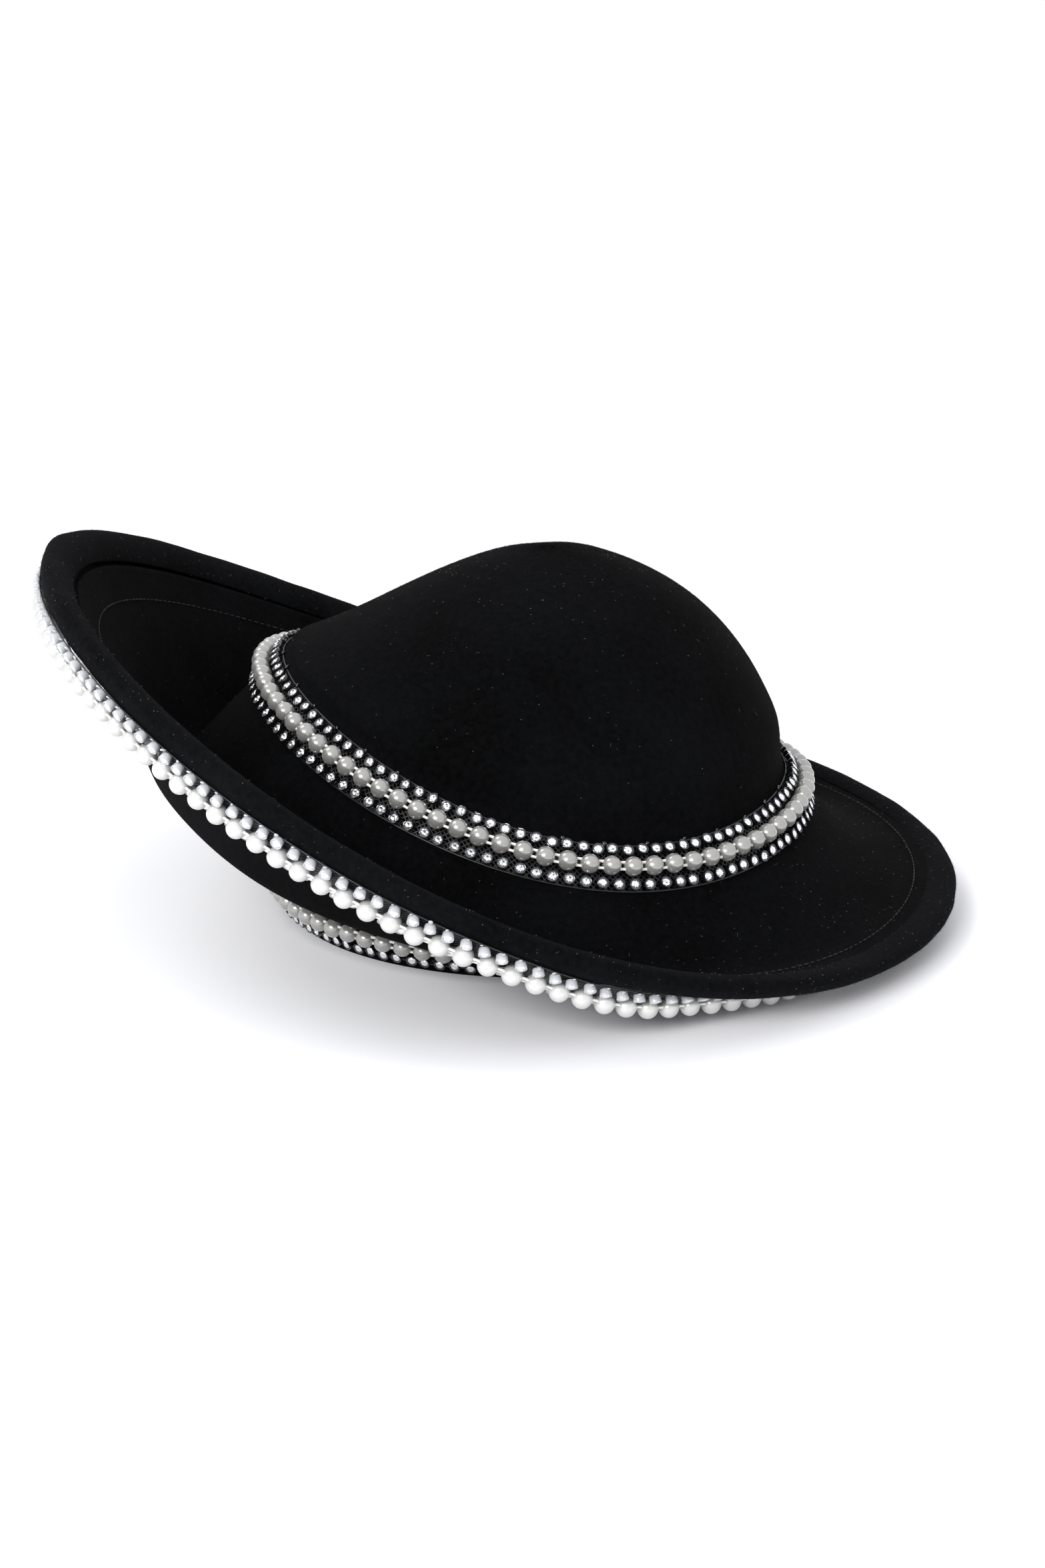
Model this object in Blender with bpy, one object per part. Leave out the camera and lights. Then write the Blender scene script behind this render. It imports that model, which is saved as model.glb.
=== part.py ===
"""Upturned felt sombrero, standing crown up on its bandeau.

A low domed crown and a deeply dished brim of black wool felt. The brim turns up steeply at -X and
its edge is rolled over a wire. Pearl and rhinestone banding runs round the crown, under the rolled
edge, and round the bandeau that holds the hat tilted. Metres, +Z up, +X to the low side of the hat.
Lengths below are in millimetres, and MM turns them into metres when a mesh is made.
"""
import math

import bmesh
import bpy
import mathutils
import numpy as np

MM = 0.001
GAP = 0.3                      # left between pieces that touch

# Felt
CROWN_X = 11.0                 # centre of the head opening, from the centre of the brim
BAND_RX, BAND_RY = 102.2, 103.9    # half axes of the line through the crown pearls
BAND_Z, BAND_TILT = 63.3, 23.7     # height of that line, and how far it rises to -X
BAND_SADDLE, BAND_TWIST = 9.2, 0.8  # the line droops at front and back
CROWN_RISE = 74.4              # apex above the middle of the band
CROWN_P, CROWN_Q = 1.81, 1.44  # exponents of the dome's profile
CROWN_LEAN = 4.7               # apex leans to +X
CROWN_INSET = 4.8              # the dome's edge, in from the line through the pearls
FELT = 3.0                     # felt thickness
RIM_RX, RIM_RY = 163.8, 158.5  # half axes of the line through the middle of the rolled edge
RIM_Z, RIM_TILT, RIM_SADDLE = 58.1, 59.7, 14.2
RIM_TWIST = 2.6
ROLL_A, ROLL_B = 7.8, 5.0      # half width and half thickness of the rolled edge
BRIM_DOWN = math.radians(44.6)     # slope at which the brim leaves the crown
BRIM_LIFT = 3.2                # the brim's top face, above the middle of the rolled edge
WIRE_R = 1.0
HEM_AT, THREAD_R = 0.92, 0.3   # the hem's stitching, as a share of the brim from the crown out

# Bandeau, the ring that goes round the head
BANDEAU_RX, BANDEAU_RY = 93.3, 83.6
BANDEAU_WALL = 2.6
BUCKRAM_WALL = 1.0
RIBBON_WALL = 0.8
BANDEAU_CUTS = (0.06, 0.5)     # shares of its height where its wall bends
BANDEAU_SWELL = (0.0, 0.5, 1.5, 0.0)   # how far it bellies out at its foot, the bends and its top
BANDEAU_TRIM_Z = 11.6

# Pearl and rhinestone banding: across is along the felt, out is away from it
NET_HALF, NET_T = 8.3, 0.3
PEARL_R, PEARL_PITCH = 3.5, 8.0
CUP_ROW, CUP_HALF, CUP_H = 6.1, 2.05, 2.5
CUP_CLEAR = 0.5                # the cups stand this far off the net
STONE_HALF, STONE_H = 1.6, 0.7
TRIM_INSET, TRIM_TUCK = 6.0, 9.6   # banding in from the middle of the roll; more at +X
TAIL_FROM, TAIL_TO = math.radians(190), math.radians(216)
TAIL_DROP, TAIL_CLEAR = 15.4, 0.7

# How finely each piece is cut round the hat
ROUND = 40


def clear_scene():
    for item in list(bpy.data.objects):
        bpy.data.objects.remove(item, do_unlink=True)


def material(name, colour, roughness, metallic=0.0):
    made = bpy.data.materials.new(name)
    made.use_nodes = True
    shader = made.node_tree.nodes["Principled BSDF"]
    shader.inputs["Base Color"].default_value = (*colour, 1.0)
    shader.inputs["Roughness"].default_value = roughness
    shader.inputs["Metallic"].default_value = metallic
    made.diffuse_color = (*colour, 1.0)
    return made


def finish_mesh(name, verts, faces, look, smooth_below=35):
    """Make one object, in metres, with its faces pointing out."""
    mesh = bpy.data.meshes.new(name)
    mesh.from_pydata([tuple(v * MM for v in vert) for vert in verts], [], faces)
    cage = bmesh.new()
    cage.from_mesh(mesh)
    bmesh.ops.recalc_face_normals(cage, faces=cage.faces)
    cage.to_mesh(mesh)
    cage.free()
    mesh.shade_smooth()
    mesh.set_sharp_from_angle(angle=math.radians(smooth_below))
    mesh.materials.append(look)
    made = bpy.data.objects.new(name, mesh)
    bpy.context.collection.objects.link(made)
    return made


def angles(count, start=0.0, end=2 * math.pi):
    return [start + (end - start) * i / count for i in range(count)]


def joined(sections, closed):
    """Triangles between sections. Both sides of a wall are split along the same diagonals."""
    count, size = len(sections), len(sections[0])
    faces = []
    for i in range(count if closed else count - 1):
        j = (i + 1) % count
        for k in range(size):
            m = (k + 1) % size
            here, ahead = i * size + k, j * size + k
            here_up, ahead_up = i * size + m, j * size + m
            if k < size // 2:
                faces += [(here, ahead, ahead_up), (here, ahead_up, here_up)]
            else:
                faces += [(ahead, ahead_up, here_up), (ahead, here_up, here)]
    return faces


def loop_solid(name, sections, look):
    """A closed ring swept through the sections, each the same number of points."""
    verts = [point for section in sections for point in section]
    return finish_mesh(name, verts, joined(sections, True), look)


def strip_solid(name, sections, look):
    """An open length swept through the sections, capped at both ends."""
    count, size = len(sections), len(sections[0])
    verts = [point for section in sections for point in section]
    caps = [tuple(range(size)), tuple(range((count - 1) * size, count * size))]
    return finish_mesh(name, verts, joined(sections, False) + caps, look)


# ---- the lines that the hat is built on -----------------------------------------------------

def outward(angle, rx, ry):
    """Level unit vector square to an ellipse."""
    vector = np.array([math.cos(angle) / rx, math.sin(angle) / ry, 0.0])
    return vector / np.linalg.norm(vector)


UP = np.array([0.0, 0.0, 1.0])


def band_height(angle):
    return (BAND_Z - BAND_TILT * math.cos(angle) + BAND_SADDLE * math.cos(2 * angle)
            + BAND_TWIST * math.cos(3 * angle))


def band_frame(angle):
    """Felt point under the crown pearls, the way up the felt, and the way out of it."""
    level = outward(angle, BAND_RX, BAND_RY)
    lean = math.radians(37 - 5 * math.cos(angle))
    out = level * math.cos(lean) + UP * math.sin(lean)
    across = -level * math.sin(lean) + UP * math.cos(lean)
    pearl = np.array([CROWN_X + BAND_RX * math.cos(angle), BAND_RY * math.sin(angle),
                      band_height(angle)])
    return pearl - out * (GAP + NET_T + GAP + PEARL_R), across, out


def crown_point(reach, angle):
    """Outer face of the dome: reach is 0 at the apex and 1 at the band."""
    height = (BAND_Z - BAND_TILT * reach ** 5.8 * math.cos(angle)
              + BAND_SADDLE * reach ** 3.6 * math.cos(2 * angle)
              + BAND_TWIST * reach ** 3.6 * math.cos(3 * angle)
              + 3.0 * reach * (1 - reach * reach) * math.cos(angle)
              + CROWN_RISE * (1 - reach ** CROWN_P) ** (1 / CROWN_Q))
    return np.array([CROWN_X + (BAND_RX - CROWN_INSET) * reach * math.cos(angle)
                     + CROWN_LEAN * (1 - reach),
                     (BAND_RY - CROWN_INSET) * reach * math.sin(angle), height])


def rim_slope(angle):
    """Slope of the brim where it meets the rolled edge."""
    return math.radians(35 - 33 * math.cos(angle) - 5 * math.cos(2 * angle))


def roll_size(angle):
    return 1.0 - 0.12 * math.cos(angle)


def brim_lift(angle):
    """How far the brim's top face lies above the middle of the rolled edge."""
    return BRIM_LIFT * roll_size(angle)


def rim_frame(angle):
    """Middle of the rolled edge, the way up the slope, and the way out of the brim's top."""
    level = outward(angle, RIM_RX, RIM_RY)
    slope = rim_slope(angle)
    along = level * math.cos(slope) + UP * math.sin(slope)
    above = -level * math.sin(slope) + UP * math.cos(slope)
    height = (RIM_Z - RIM_TILT * math.cos(angle) + RIM_SADDLE * math.cos(2 * angle)
              + 0.4 * math.cos(3 * angle) + RIM_TWIST * math.sin(2 * angle))
    middle = np.array([RIM_RX * math.cos(angle), RIM_RY * math.sin(angle), height])
    return middle, along, above


def brim_curve(angle):
    """Bezier points of the brim's top face, from the crown out to the rolled edge."""
    foot, across, _ = band_frame(angle)
    start = foot - across * (NET_HALF - 0.7)
    middle, along, above = rim_frame(angle)
    size = roll_size(angle)
    end = middle - along * (ROLL_A + GAP) * size + above * brim_lift(angle)
    level = end - start
    level[2] = 0.0
    level /= np.linalg.norm(level)
    near = 42.1 - 28.0 * math.cos(angle) + 4 * math.cos(2 * angle)
    far = 47.6 - 39.6 * math.cos(angle) + 4 * math.cos(2 * angle)
    slope = rim_slope(angle)
    return [start, start + (level * math.cos(BRIM_DOWN) - UP * math.sin(BRIM_DOWN)) * near,
            end - (level * math.cos(slope) + UP * math.sin(slope)) * far, end]


def brim_top(share, angle):
    """Point on the brim's top face and the way out of it; share runs from 0 to 1."""
    a, b, c, d = brim_curve(angle)
    rest = 1 - share
    point = rest ** 3 * a + 3 * rest * rest * share * b + 3 * rest * share * share * c + share ** 3 * d
    run = 3 * rest * rest * (b - a) + 6 * rest * share * (c - b) + 3 * share * share * (d - c)
    run /= np.linalg.norm(run)
    normal = UP - run * run[2]
    return point, normal / np.linalg.norm(normal)


def under_frame(angle, inward):
    """Point under the brim at a distance in from its rolled edge, the way to the edge, the way out."""
    shares = np.linspace(1.0, 0.3, 40)
    points = []
    for share in shares:
        point, normal = brim_top(share, angle)
        points.append(point - normal * FELT)
    points = np.array(points)
    steps = np.linalg.norm(np.diff(points, axis=0), axis=1)
    reach = np.concatenate([[0.0], np.cumsum(steps)])
    share = float(np.interp(inward, reach, shares))
    point, normal = brim_top(share, angle)
    point = point - normal * FELT
    ahead, _ = brim_top(min(share + 0.02, 1.0), angle)
    back, _ = brim_top(share - 0.02, angle)
    across = ahead - back
    across /= np.linalg.norm(across)
    return point, across, -normal


def tucked(angle):
    """How far the banding has moved in beside the roll: 0 at the high side, 1 at the low side."""
    share = min(max((math.cos(angle) + 0.05) / 0.5, 0.0), 1.0)
    return share * share * (3 - 2 * share)


def trim_frame_brim(angle):
    """Banding under the rolled edge at the high side, and beside the roll at the low side."""
    middle, along, above = rim_frame(angle)
    size = roll_size(angle)
    inset = TRIM_INSET + TRIM_TUCK * tucked(angle)
    past = min(max((inset - NET_HALF) / (ROLL_A * size), 0.0), 1.0)
    drop = max(ROLL_B * size * math.sqrt(1 - past * past), FELT - brim_lift(angle)) + GAP
    return middle - along * inset - above * drop, along, -above


def trim_frame_tail(angle):
    """The banding's end, which passes below its own start at the high side of the brim."""
    point, across, out = under_frame(angle, TAIL_DROP)
    return point + out * TAIL_CLEAR, across, out


def bandeau_outer(share, angle):
    """Outer face of the bandeau: share 0 at its lower edge, 1 where it is sewn in the crown."""
    low = np.array([CROWN_X + BANDEAU_RX * math.cos(angle), BANDEAU_RY * math.sin(angle), 0.0])
    foot, across, out = band_frame(angle)
    high = foot - out * (FELT + GAP + 0.4) - across * 4.0
    point = low + (high - low) * share
    swell = np.interp(share, (0.0, *BANDEAU_CUTS, 1.0), BANDEAU_SWELL)
    return point + outward(angle, BANDEAU_RX, BANDEAU_RY) * swell


def trim_frame_bandeau(angle):
    top = bandeau_outer(1.0, angle)[2]
    share = BANDEAU_TRIM_Z / top
    point = bandeau_outer(share, angle)
    across = bandeau_outer(share + 0.05, angle) - bandeau_outer(share - 0.05, angle)
    across /= np.linalg.norm(across)
    level = outward(angle, BANDEAU_RX, BANDEAU_RY)
    out = level - across * float(level @ across)
    return point, across, out / np.linalg.norm(out)


# ---- felt -----------------------------------------------------------------------------------

def make_crown(look):
    """Dome shell whose lower edge runs down the cone under the banding."""
    reaches = [0.16, 0.34, 0.52, 0.67, 0.79, 0.88, 0.93]
    cut = angles(ROUND)
    rings = []
    for reach in reaches:
        rings.append([crown_point(reach, angle) for angle in cut])
    for down in (-0.7 - NET_HALF, 6.6):
        ring = []
        for angle in cut:
            foot, across, _ = band_frame(angle)
            ring.append(foot - across * down)
        rings.append(ring)
    rings = np.array(rings)
    apex = crown_point(0.0, 0.0)
    size = len(cut)
    inner = np.array(rings)
    for i in range(len(rings)):
        before = rings[i - 1] if i else np.tile(apex, (size, 1))
        after = rings[i + 1] if i + 1 < len(rings) else rings[i]
        run = after - before
        turn = np.roll(rings[i], -1, axis=0) - np.roll(rings[i], 1, axis=0)
        normal = np.cross(run, turn)
        normal /= np.linalg.norm(normal, axis=1)[:, None]
        middle = np.array([CROWN_X, 0.0, BAND_Z - 40.0])
        facing = np.sign(np.einsum("ij,ij->i", normal, rings[i] - middle))
        inner[i] = rings[i] - normal * facing[:, None] * FELT
    verts = [tuple(p) for ring in rings for p in ring] + [tuple(p) for ring in inner for p in ring]
    count = len(rings)
    verts += [tuple(apex), tuple(apex - UP * FELT)]
    top, under = len(verts) - 2, len(verts) - 1
    faces = []
    for side in (0, count * size):
        for i in range(count - 1):
            for k in range(size):
                m = (k + 1) % size
                faces.append((side + i * size + k, side + i * size + m,
                              side + (i + 1) * size + m, side + (i + 1) * size + k))
        tip = top if side == 0 else under
        for k in range(size):
            faces.append((tip, side + (k + 1) % size, side + k))
    last = (count - 1) * size
    for k in range(size):
        m = (k + 1) % size
        faces.append((last + k, last + m, count * size + last + m, count * size + last + k))
    return finish_mesh("crown_shell", verts, faces, look)


def make_brim(look):
    """Dished brim, from the headline out to the rolled edge."""
    shares = [0.0, 0.13, 0.29, 0.46, 0.66, HEM_AT, 0.985]
    sections = []
    for angle in angles(ROUND):
        top, under = [], []
        for share in shares:
            point, normal = brim_top(share, angle)
            top.append(point)
            under.append(point - normal * FELT)
        sections.append([tuple(p) for p in top + under[::-1]])
    return loop_solid("brim_shell", sections, look)


def roll_section(angle, scale_a, scale_b, turns):
    middle, along, above = rim_frame(angle)
    size = roll_size(angle)
    return [middle + along * scale_a * size * math.cos(turn) + above * scale_b * size * math.sin(turn)
            for turn in turns]


def make_roll(look):
    """Edge of the felt rolled over the wire: a C whose mouth is on its inner side."""
    mouth = math.radians(24)
    turns = [math.pi + mouth + (2 * math.pi - 2 * mouth) * i / 8 for i in range(9)]
    sections = []
    for angle in angles(ROUND):
        outer = roll_section(angle, ROLL_A, ROLL_B, turns)
        inner = roll_section(angle, ROLL_A - FELT + 0.2, ROLL_B - FELT + 0.2, turns[::-1][1::2])
        sections.append([tuple(p) for p in outer + inner])
    return loop_solid("brim_rolled_edge", sections, look)


def make_wire(look):
    """Round wire inside the rolled edge."""
    turns = angles(4)
    sections = []
    for angle in angles(ROUND):
        middle, along, above = rim_frame(angle)
        middle = middle + along * 2.0
        sections.append([tuple(middle + along * WIRE_R * math.cos(turn) + above * WIRE_R * math.sin(turn))
                         for turn in turns])
    return loop_solid("brim_wire", sections, look)


def make_hem_thread(look):
    """Stitching thread lying on the brim's top face, in from the rolled edge."""
    turns = angles(3)
    sections = []
    for angle in angles(ROUND):
        point, normal = brim_top(HEM_AT, angle)
        point = point + normal * (GAP + THREAD_R)
        middle, along, above = rim_frame(angle)
        sections.append([tuple(point + (along * math.cos(turn) + above * math.sin(turn)) * THREAD_R)
                         for turn in turns])
    return loop_solid("hem_thread", sections, look)


def make_bandeau(look):
    """Felt ring that the hat stands on, with its lower edge cut flat."""
    bandeau_ring("bandeau_felt", look, 0.0, BANDEAU_WALL, (0.0, *BANDEAU_CUTS, 1.0))


def bandeau_ring(name, look, inset, wall, shares):
    """One layer of the bandeau, from one share of its height to another."""
    sections = []
    for angle in angles(ROUND):
        level = outward(angle, BANDEAU_RX, BANDEAU_RY)
        outer = [bandeau_outer(share, angle) - level * inset for share in shares]
        inner = [point - level * wall for point in outer]
        sections.append([tuple(p) for p in outer + inner[::-1]])
    return loop_solid(name, sections, look)


# ---- banding --------------------------------------------------------------------------------

def bar_sections(frame, cut, across_at, half, low, high):
    """Sections of a flat bar that follows a banding frame."""
    sections = []
    for angle in cut:
        foot, across, out = frame(angle)
        corners = [(-half, low), (half, low), (half, high), (-half, high)]
        sections.append([tuple(foot + across * (across_at + c) + out * h) for c, h in corners])
    return sections


def even_angles(frame, out_by, pitch):
    """Angles two to a pitch, evenly along a frame's line."""
    fine = np.linspace(0, 2 * math.pi, 721)
    points = np.array([frame(a)[0] + frame(a)[2] * out_by for a in fine])
    reach = np.concatenate([[0.0], np.cumsum(np.linalg.norm(np.diff(points, axis=0), axis=1))])
    count = round(reach[-1] / pitch)
    return np.interp(np.linspace(0, reach[-1], 2 * count + 1)[:-1], reach, fine)


def bead_sections(frame, radius, pitch, sides):
    """A string of pearls as one body: wide at each pearl, thin at each link."""
    out_by = GAP + NET_T + GAP + radius
    sections = []
    for i, angle in enumerate(even_angles(frame, out_by, pitch)):
        foot, across, out = frame(angle)
        size = radius if i % 2 else 0.8
        middle = foot + out * out_by
        turn_from = math.pi / sides
        sections.append([tuple(middle + across * size * math.cos(turn_from + turn)
                               + out * size * math.sin(turn_from + turn)) for turn in angles(sides)])
    return sections


def rod_sections(frame, cut, radius, sides):
    """A row of pearls as one plain rod."""
    out_by = GAP + NET_T + GAP + radius
    sections = []
    for angle in cut:
        foot, across, out = frame(angle)
        middle = foot + out * out_by
        sections.append([tuple(middle + across * radius * math.cos(turn)
                               + out * radius * math.sin(turn)) for turn in angles(sides)])
    return sections


def make_banding(prefix, frame, radius, looks, beaded=False, whole=True):
    """Net, pearls, and an upper and a lower row of cups and stones, each its own piece."""
    if whole:
        cut = angles(ROUND)
        solid = loop_solid
    else:
        cut = np.linspace(TAIL_FROM, TAIL_TO, 6)
        solid = strip_solid
    solid(f"{prefix}_net", bar_sections(frame, cut, 0.0, NET_HALF, GAP, GAP + NET_T),
          looks["net"])
    if beaded:
        pearls = bead_sections(frame, radius, PEARL_PITCH, 4)
    else:
        pearls = rod_sections(frame, cut, radius, 6)
    solid(f"{prefix}_pearls", pearls, looks["pearl"])
    base = GAP + NET_T + CUP_CLEAR
    for row, side in (("upper", 1), ("lower", -1)):
        place = side * CUP_ROW
        solid(f"{prefix}_{row}_cups", bar_sections(frame, cut, place, CUP_HALF, base, base + CUP_H),
              looks["cup"])
        stone = base + CUP_H + GAP
        solid(f"{prefix}_{row}_stones",
              bar_sections(frame, cut, place, STONE_HALF, stone, stone + STONE_H), looks["stone"])


def centre_pieces():
    """Put the origin at the bottom centre of the whole hat."""
    made = [item for item in bpy.data.objects if item.type == "MESH"]
    points = np.array([tuple(vert.co) for item in made for vert in item.data.vertices])
    low, high = points.min(axis=0), points.max(axis=0)
    shift = mathutils.Matrix.Translation((-(low[0] + high[0]) / 2, -(low[1] + high[1]) / 2, -low[2]))
    for item in made:
        item.data.transform(shift)


def main():
    clear_scene()
    felt = material("felt", (0.006, 0.006, 0.007), 0.95)
    pearl = material("pearl", (0.86, 0.84, 0.79), 0.22)
    stone = material("crystal", (0.85, 0.86, 0.88), 0.05)
    black_cup = material("black_cup", (0.01, 0.01, 0.011), 0.15)
    clear_cup = material("clear_cup", (0.75, 0.77, 0.8), 0.1)
    net = material("net", (0.015, 0.015, 0.016), 0.5)
    ribbon = material("ribbon", (0.012, 0.012, 0.013), 0.6)
    buckram = material("buckram", (0.03, 0.03, 0.032), 0.8)
    steel = material("wire", (0.45, 0.45, 0.46), 0.35, 1.0)
    thread = material("thread", (0.12, 0.12, 0.12), 0.7)

    make_crown(felt)
    make_brim(felt)
    make_roll(felt)
    make_wire(steel)
    make_hem_thread(thread)
    make_bandeau(felt)
    bandeau_ring("bandeau_buckram", buckram, BANDEAU_WALL + GAP, BUCKRAM_WALL,
                 (*BANDEAU_CUTS, 1.0))
    bandeau_ring("sweatband", ribbon, BANDEAU_WALL + GAP + BUCKRAM_WALL + GAP, RIBBON_WALL,
                 BANDEAU_CUTS)

    dark = {"net": net, "pearl": pearl, "cup": black_cup, "stone": stone}
    light = {"net": net, "pearl": pearl, "cup": clear_cup, "stone": stone}
    make_banding("crown_trim", band_frame, PEARL_R, dark, beaded=True)
    make_banding("brim_trim", trim_frame_brim, PEARL_R, light)
    make_banding("tail_trim", trim_frame_tail, PEARL_R, light, whole=False)
    make_banding("bandeau_trim", trim_frame_bandeau, PEARL_R, dark)
    centre_pieces()


main()
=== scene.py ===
"""Looks of the black felt sombrero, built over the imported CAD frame.

Lengths are in millimetres in the hat's own frame, as in the part: the camera side is -Y, the high
side of the brim is -X. put() turns them into metres and moves them to the frame's origin.
"""
import math

import bpy
import numpy as np
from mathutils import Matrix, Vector


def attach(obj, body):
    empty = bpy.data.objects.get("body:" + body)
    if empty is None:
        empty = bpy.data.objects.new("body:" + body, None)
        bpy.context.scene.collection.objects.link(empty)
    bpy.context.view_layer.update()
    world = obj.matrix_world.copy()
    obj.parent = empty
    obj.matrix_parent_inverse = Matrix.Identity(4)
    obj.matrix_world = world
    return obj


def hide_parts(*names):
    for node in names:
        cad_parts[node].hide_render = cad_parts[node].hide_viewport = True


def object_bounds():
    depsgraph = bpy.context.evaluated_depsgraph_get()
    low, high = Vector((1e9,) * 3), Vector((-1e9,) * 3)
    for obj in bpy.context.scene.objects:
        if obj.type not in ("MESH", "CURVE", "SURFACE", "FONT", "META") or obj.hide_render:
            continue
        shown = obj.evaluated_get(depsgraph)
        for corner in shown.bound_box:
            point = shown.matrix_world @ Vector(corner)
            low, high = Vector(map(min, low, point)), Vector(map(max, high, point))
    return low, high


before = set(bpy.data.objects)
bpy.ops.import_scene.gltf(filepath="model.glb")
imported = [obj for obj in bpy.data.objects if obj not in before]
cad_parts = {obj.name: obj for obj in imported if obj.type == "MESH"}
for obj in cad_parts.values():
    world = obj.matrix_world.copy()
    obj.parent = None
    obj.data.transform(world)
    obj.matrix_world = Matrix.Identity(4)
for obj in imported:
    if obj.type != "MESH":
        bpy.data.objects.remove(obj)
cad_low, cad_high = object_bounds()

MM = 0.001
RNG = np.random.default_rng(11)
TAU = 2 * math.pi
UP = np.array([0.0, 0.0, 1.0])

# ---- the hat's lines, the same as the part's --------------------------------------------------
CROWN_X = 11.0
BAND_RX, BAND_RY = 102.2, 103.9
BAND_Z, BAND_TILT, BAND_SADDLE, BAND_TWIST = 63.3, 23.7, 9.2, 0.8
CROWN_INSET = 4.8              # the dome's edge, in from the line through the pearls
CROWN_RISE, CROWN_P, CROWN_Q, CROWN_LEAN = 74.4, 1.81, 1.44, 4.7
FELT = 3.0
RIM_RX, RIM_RY = 163.8, 158.5
RIM_Z, RIM_TILT, RIM_SADDLE, RIM_TWIST = 58.1, 59.7, 14.2, 2.6
ROLL_A, ROLL_B = 7.8, 5.0
ROLL_TOP = 4.0                 # half thickness of the roll above its middle
BRIM_LIFT = 3.2                # the brim's top face, above the middle of the roll
BRIM_DOWN = math.radians(44.6)
BANDEAU_RX, BANDEAU_RY = 93.3, 83.6
BANDEAU_WALL = 2.6
TRIM_INSET, TRIM_TUCK = 6.0, 9.6
TAIL_DROP, TAIL_CLEAR = 15.4, 0.7
TAIL_FROM, TAIL_TO = math.radians(190), math.radians(216)
BANDEAU_TRIM_Z = 11.6
NET_CLEAR = 0.9                # pearls and cups stand this far off the felt, on the netting
STITCHES, HEM_AT = 300, 0.945  # the hem's stitches, and their place as a share of the brim
CENTRE_X = 1.636               # from the middle of the CAD box to the hat's own origin
NET_HALF = 8.3
PEARL_R, PEARL_PITCH = 3.5, 8.0
BRIM_PITCH = 8.8
CUP_ROW = 6.1


def unit(v):
    return v / np.linalg.norm(v, axis=-1, keepdims=True)


def vec(x, y, z):
    return np.stack(np.broadcast_arrays(x, y, z), axis=-1).astype(float)


def outward(t, rx, ry):
    return unit(vec(np.cos(t) / rx, np.sin(t) / ry, 0.0 * t))


def col(a):
    return np.asarray(a, float)[..., None]


def band_height(t):
    return (BAND_Z - BAND_TILT * np.cos(t) + BAND_SADDLE * np.cos(2 * t)
            + BAND_TWIST * np.cos(3 * t))


def band_frame(t):
    level = outward(t, BAND_RX, BAND_RY)
    lean = np.radians(37 - 5 * np.cos(t))
    out = level * col(np.cos(lean)) + UP * col(np.sin(lean))
    across = -level * col(np.sin(lean)) + UP * col(np.cos(lean))
    pearl = vec(CROWN_X + BAND_RX * np.cos(t), BAND_RY * np.sin(t), band_height(t))
    return pearl - out * (PEARL_R + NET_CLEAR), across, out


def crown_point(r, t):
    height = (BAND_Z - BAND_TILT * r ** 5.8 * np.cos(t) + BAND_SADDLE * r ** 3.6 * np.cos(2 * t)
              + BAND_TWIST * r ** 3.6 * np.cos(3 * t) + 3.0 * r * (1 - r * r) * np.cos(t)
              + CROWN_RISE * (1 - r ** CROWN_P) ** (1 / CROWN_Q))
    return vec(CROWN_X + (BAND_RX - CROWN_INSET) * r * np.cos(t) + CROWN_LEAN * (1 - r),
               (BAND_RY - CROWN_INSET) * r * np.sin(t), height)


def rim_slope(t):
    return np.radians(35 - 33 * np.cos(t) - 5 * np.cos(2 * t))


def roll_size(t):
    return 1.0 - 0.12 * np.cos(t)


def brim_lift(t):
    return BRIM_LIFT * roll_size(t)


def rim_frame(t):
    level = outward(t, RIM_RX, RIM_RY)
    slope = rim_slope(t)
    along = level * col(np.cos(slope)) + UP * col(np.sin(slope))
    above = -level * col(np.sin(slope)) + UP * col(np.cos(slope))
    height = (RIM_Z - RIM_TILT * np.cos(t) + RIM_SADDLE * np.cos(2 * t)
              + 0.4 * np.cos(3 * t) + RIM_TWIST * np.sin(2 * t))
    return vec(RIM_RX * np.cos(t), RIM_RY * np.sin(t), height), along, above


def brim_top(u, t):
    """Brim's top face and its normal; u is 0 at the crown and 1 at the roll."""
    foot, across, _ = band_frame(t)
    start = foot - across * (NET_HALF - 0.7)
    middle, along, above = rim_frame(t)
    end = middle - along * col((ROLL_A + 0.3) * roll_size(t)) + above * col(brim_lift(t))
    level = end - start
    level[..., 2] = 0.0
    level = unit(level)
    near = col(42.1 - 28.0 * np.cos(t) + 4 * np.cos(2 * t))
    far = col(47.6 - 39.6 * np.cos(t) + 4 * np.cos(2 * t))
    slope = col(rim_slope(t))
    b = start + (level * math.cos(BRIM_DOWN) - UP * math.sin(BRIM_DOWN)) * near
    c = end - (level * np.cos(slope) + UP * np.sin(slope)) * far
    u = col(u)
    w = 1 - u
    point = w ** 3 * start + 3 * w * w * u * b + 3 * w * u * u * c + u ** 3 * end
    run = unit(3 * w * w * (b - start) + 6 * w * u * (c - b) + 3 * u * u * (end - c))
    return point, unit(UP - run * run[..., 2:])


def tucked(t):
    """0 where the banding hangs under the roll, 1 where it lies beside it at the low side."""
    share = np.clip((np.cos(t) + 0.05) / 0.5, 0, 1)
    return share * share * (3 - 2 * share)


def brim_trim_frame(t):
    middle, along, above = rim_frame(t)
    size = roll_size(t)
    inset = TRIM_INSET + TRIM_TUCK * tucked(t)
    past = np.clip((inset - NET_HALF) / (ROLL_A * size), 0, 1)
    drop = np.maximum(ROLL_B * size * np.sqrt(1 - past * past), FELT - brim_lift(t)) + 0.3
    return middle - along * col(inset) - above * col(drop), along, -above


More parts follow.
